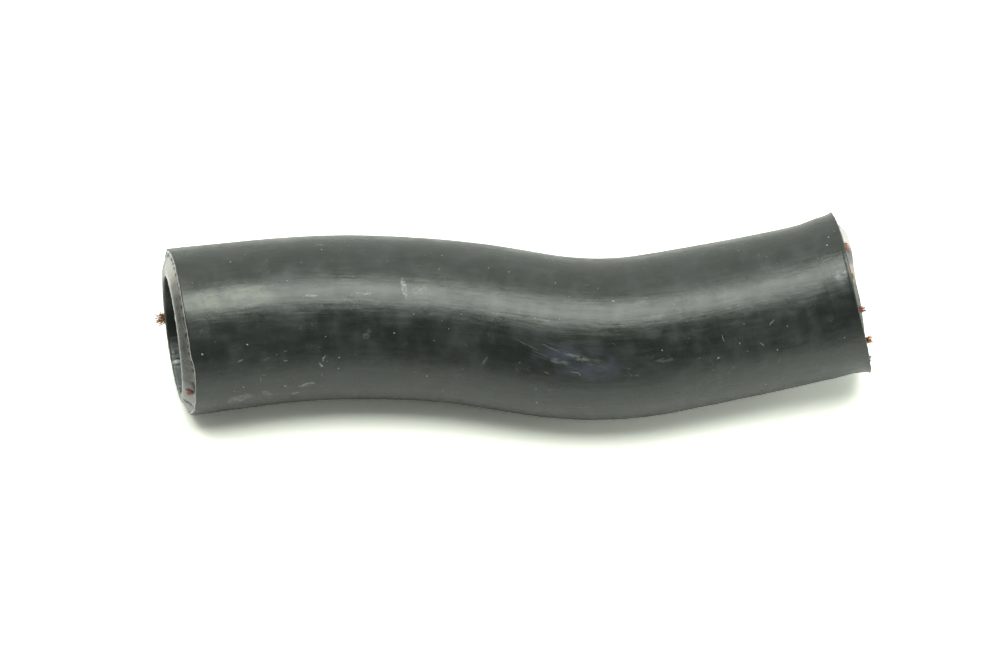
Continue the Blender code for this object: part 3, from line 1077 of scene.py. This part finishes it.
def cut_finish(colours):
    """Bare rubber of the cut: dark and dull in its hollows, with painted shade there, and pale along
    its lip for wear and a painted edge highlight.
    """
    cut = Finish("cut_rubber")
    place = cut.place()
    along, angle = cut.unrolled(place)
    radius = cut.vector("LENGTH", cut.vector("MULTIPLY", place, (0.0, 1.0, 1.0)), output="Value")
    ends = {"left": along.rising(RIGHT_HALF, LEFT_HALF), "right": along.rising(LEFT_HALF, RIGHT_HALF)}
    mottle = cut.cloud(place, CUT_MOTTLE)
    flecks = cut.cloud(place, CUT_FLECKS)
    worn = cut.attribute(EDGE_WEAR_AND_HIGHLIGHT)
    hollow = cut.attribute(HOLLOW)
    colour = stretched_colour(cut, colours, mottle, flecks, angle, ends)
    # The pits are darkened brown: dirt round the yarn ends and painted shade in the hollows.
    colour = cut.mix(hollow.rising(0.08, 0.45) * 0.9, colour, colours.cut_brown)

    ring = radius.rising(*RING_INSIDE) * radius.rising(*RING_OUTSIDE) * angle.rising(*RING_LOW_END)
    holes = cut.cloud(place, YARN_HOLES).rising(0.48, 0.56) * ring * ends["left"]
    # The yarn holes are darkened with dirt and painted shade.
    earth = cut.cloud(place, CUT_EARTH).rising(0.45, 0.60)
    dirt = cut.mix(earth, colours.cut_dark, colours.cut_brown)
    colour = cut.mix(holes * 0.9, colour, dirt)
    # Painted shade: the right face's outer rim is darkened where its lip lies in shadow.
    rim = radius.rising(*PAINTED_RIM_SHADE) * ends["right"]
    colour = cut.mix(rim * 0.8, colour, colours.cut_dark)
    matte = hollow.rising(0.05, 0.40).most(holes).most(rim).most(ends["right"] * 0.6)
    tints = (colours.rubber, colours.cut_dark, colours.cut_pale)
    # Painted shade in the crevice and the open yarn end; the yarn core is painted pale.
    for mark, tint in zip((CREVICE, OPEN_YARN, YARN_CORE), tints):
        mask = cut.patch(radius, angle, mark).rising(0.05, 0.45) * ends["left"]
        colour = cut.mix(mask, colour, tint)
        matte = matte.most(mask)
    # The left lip is painted pale: wear, and a painted highlight along its edge.
    lip = (worn * 1.6 - 0.6).most(0.0) * flecks.rising(0.20, 0.50) * ends["left"]
    height = cut.cloud(place, KNIFE_MARKS) * 0.15 + flecks * 0.2 + mottle * 0.6 - holes * 1.2
    return cut.finish(
        Base_Color=cut.mix(lip, colour, colours.cut_pale),
        Roughness=mottle.rising(0.3, 0.7) * 0.16 + matte * 0.60 + 0.14,
        Normal=cut.bump(height, CUT_BUMP, 0.5),
        Specular_IOR_Level=SHEEN_LEVEL,
    )


def bore_finish(colours):
    """The bore: smooth dark rubber, a little shiny, with pale dust in its left mouth and a painted
    highlight on the tops of its lumps.
    """
    bore = Finish("bore_rubber")
    place = bore.place()
    along, angle = bore.unrolled(place)
    film = bore.cloud(place, BORE_FILM)
    colour = bore.mix(film.rising(0.4, 0.8) * 0.4, colours.rubber, colours.bloom)
    flecks = bore.cloud(place, BORE_FLECKS)
    mouth = bore.patch(along, angle, BORE_MOUTH) * flecks.rising(0.15, 0.55)
    colour = bore.mix(mouth * BORE_MOUTH.strength, colour, colours.haze_dust)
    # Painted highlight: the tops of the lumps are painted pale bluish.
    for lump in LEFT_LUMPS:
        reach = lump.radius / MM * 0.85
        strength = min(1.0, lump.height / LEFT_LUMPS[0].height)
        top = Scuff(lump.inward / MM, math.degrees(lump.angle), reach, reach, 0, strength)
        mask = bore.patch(along, angle, top) * flecks.rising(0.25, 0.50)
        colour = bore.mix(mask * top.strength, colour, colours.haze_dust)
    return bore.finish(
        Base_Color=colour,
        Roughness=film * 0.2 + 0.28,
        Normal=bore.bump(bore.cloud(place, BORE_DENTS), BORE_BUMP, 0.6),
        Specular_IOR_Level=SHEEN_LEVEL,
    )


def yarn_finish(name, bright):
    """Frayed yarn: matte, with dirty stretches."""
    yarn = Finish(name + "_yarn")
    coordinates = yarn.add("ShaderNodeTexCoord", {}, {}, "Object")
    dirt = yarn.cloud(coordinates, YARN_DIRT)
    dull = tuple(part * YARN_DULLING for part in bright)
    return yarn.finish(Base_Color=yarn.mix(dirt.rising(0.35, 0.6), dull, bright), Roughness=0.85)


# The stage.

TABLE_SIZE = 8.0
SOFTBOX_HEIGHT = 0.70
SOFTBOX_LEAN = math.radians(9.5)
Lamp = namedtuple("Lamp", "name length width place turn")
LAMPS = (
    Lamp(
        "softbox", 0.80, 0.42,
        Vector((0.0, -math.sin(SOFTBOX_LEAN), math.cos(SOFTBOX_LEAN))) * SOFTBOX_HEIGHT,
        (-SOFTBOX_LEAN, 0.0, 0.0),
    ),
    Lamp("side_softbox", 0.40, 0.10, (0.40, -0.04, 0.06), (math.pi / 2, 0.0, math.pi / 2)),
)
LIGHT_TINT = (0.94, 1.0, 0.92)
WHITE = (1.0, 1.0, 1.0, 1.0)
ROOM_LEVEL = 0.22
WALL_LEVEL = 1.08
CAMERA_AIM = Vector((-1.81 * MM, 10.23 * MM, 0.0))
CLIP_START = 0.01

# The table dims in front of the hose, and the camera sees it turn white away from the shadow.
DIM_FROM = -0.022
DIM_TO = -0.080
DIM_SHARE = 0.30
SEEN_TABLE = (1.5, 1.5, 1.42, 1.0)
SHADOW_GLOW = (1.0, 1.0, 0.9, 1.0)
SHADOW_GLOW_LEVEL = 0.006
WHITE_FROM = 0.14
WHITE_TO = 0.40


def table_finish(colour):
    """A pale table that the camera sees as white, apart from the hose's shadow."""
    table = Finish("white_table")
    coordinates = table.add("ShaderNodeTexCoord", {}, {}, "Object")
    depth = table.add("ShaderNodeSeparateXYZ", {}, {"Vector": coordinates}, "Y")
    dim = tuple(part * DIM_SHARE for part in colour)
    plain = table.mix(depth.rising(DIM_FROM, DIM_TO), colour, dim)
    table.finish(Base_Color=plain, Roughness=0.9, Specular_IOR_Level=0.0)
    lit = table.add("ShaderNodeBsdfDiffuse", {}, {"Color": SEEN_TABLE})
    faint = {"Color": SHADOW_GLOW, "Strength": SHADOW_GLOW_LEVEL}
    lit = table.add("ShaderNodeAddShader", {}, {0: lit, 1: table.add("ShaderNodeEmission", {}, faint)})
    glow = table.add("ShaderNodeEmission", {}, {"Color": WHITE})
    far = table.vector("LENGTH", coordinates, output="Value").rising(WHITE_FROM, WHITE_TO)
    shown = table.add("ShaderNodeMixShader", {}, {0: far, 1: lit, 2: glow})
    table.show("Material Output", Shade(table, table.surface.outputs[0]), shown)
    return table.material


def make_world():
    """White to the camera. The object sees a bright wall behind it and a dim room in front."""
    world = bpy.data.worlds.new("studio")
    world.use_nodes = True
    bpy.context.scene.world = world
    studio = Nodes(world.node_tree)
    coordinates = studio.add("ShaderNodeTexCoord", {}, {}, "Generated")
    depth = studio.add("ShaderNodeSeparateXYZ", {}, {"Vector": coordinates}, "Y")
    level = depth.rising(-0.1, 0.4) * (WALL_LEVEL - ROOM_LEVEL) + ROOM_LEVEL
    background = studio.nodes["Background"]
    studio.put(background.inputs["Color"], (*LIGHT_TINT, 1.0))
    studio.put(background.inputs["Strength"], level)
    white = studio.add("ShaderNodeBackground", {}, {"Color": WHITE})
    studio.show("World Output", Shade(studio, background.outputs[0]), white)


def add_table(colour):
    """The table top, which is stage and not part of the hose."""
    bm = bmesh.new()
    bmesh.ops.create_grid(bm, x_segments=1, y_segments=1, size=TABLE_SIZE / 2)
    placed("table_top", mesh_from(bm, "table_top", [table_finish(colour)]))


def add_lamp(lamp, power):
    """A rectangular softbox."""
    light = bpy.data.lights.new(lamp.name, "AREA")
    light.shape = "RECTANGLE"
    light.size = lamp.length
    light.size_y = lamp.width
    light.energy = power
    light.color = LIGHT_TINT
    box = placed(lamp.name, light)
    box.location = lamp.place
    box.rotation_euler = lamp.turn


def add_camera(stage):
    """The camera, which looks down on the hose from its near side."""
    camera = bpy.data.cameras.new("camera")
    camera.lens = stage.lens
    camera.clip_start = CLIP_START
    eye = placed("camera", camera)
    back = Vector((0.0, -math.cos(stage.elevation), math.sin(stage.elevation)))
    eye.location = CAMERA_AIM + back * stage.camera_distance
    eye.rotation_euler = (math.pi / 2 - stage.elevation, 0.0, 0.0)
    bpy.context.scene.camera = eye


class HOSE_OT_stage(bpy.types.Operator):
    """Make the pale table, the softboxes, the world and the camera"""

    bl_idname = "hose.stage"
    bl_label = "Stage"

    def execute(self, context):
        stage = context.scene.hose_stage
        add_table(stage.table)
        for lamp in LAMPS:
            add_lamp(lamp, getattr(stage, lamp.name))
        make_world()
        add_camera(stage)
        context.scene.view_settings.view_transform = "Standard"
        return {"FINISHED"}


class HOSE_PT_panel(bpy.types.Panel):
    """The hose's operators and settings"""

    bl_idname = "HOSE_PT_panel"
    bl_label = "Moulded Rubber Hose"
    bl_space_type = "VIEW_3D"
    bl_region_type = "UI"
    bl_category = "Rubber Hose"

    def draw(self, context):
        layout = self.layout
        for operator in OPERATORS:
            layout.operator(operator.bl_idname)
        for name in SETTINGS:
            settings = getattr(context.scene, name)
            box = layout.box()
            for key in settings.__annotations__:
                box.prop(settings, key)


OPERATORS = (HOSE_OT_moulding, HOSE_OT_yarn, HOSE_OT_stage)
SETTINGS = {"hose_sizes": HoseSizes, "hose_colours": HoseColours, "hose_stage": StageSettings}


def register():
    for kind in (*SETTINGS.values(), *OPERATORS, HOSE_PT_panel):
        bpy.utils.register_class(kind)
    for name, group in SETTINGS.items():
        setattr(bpy.types.Scene, name, bpy.props.PointerProperty(type=group))


def unregister():
    for name in SETTINGS:
        delattr(bpy.types.Scene, name)
    for kind in (HOSE_PT_panel, *reversed(OPERATORS), *SETTINGS.values()):
        bpy.utils.unregister_class(kind)


def main():
    register()
    bpy.ops.hose.moulding()
    bpy.ops.hose.yarn()
    bpy.ops.hose.stage()


if __name__ == "__main__":
    main()
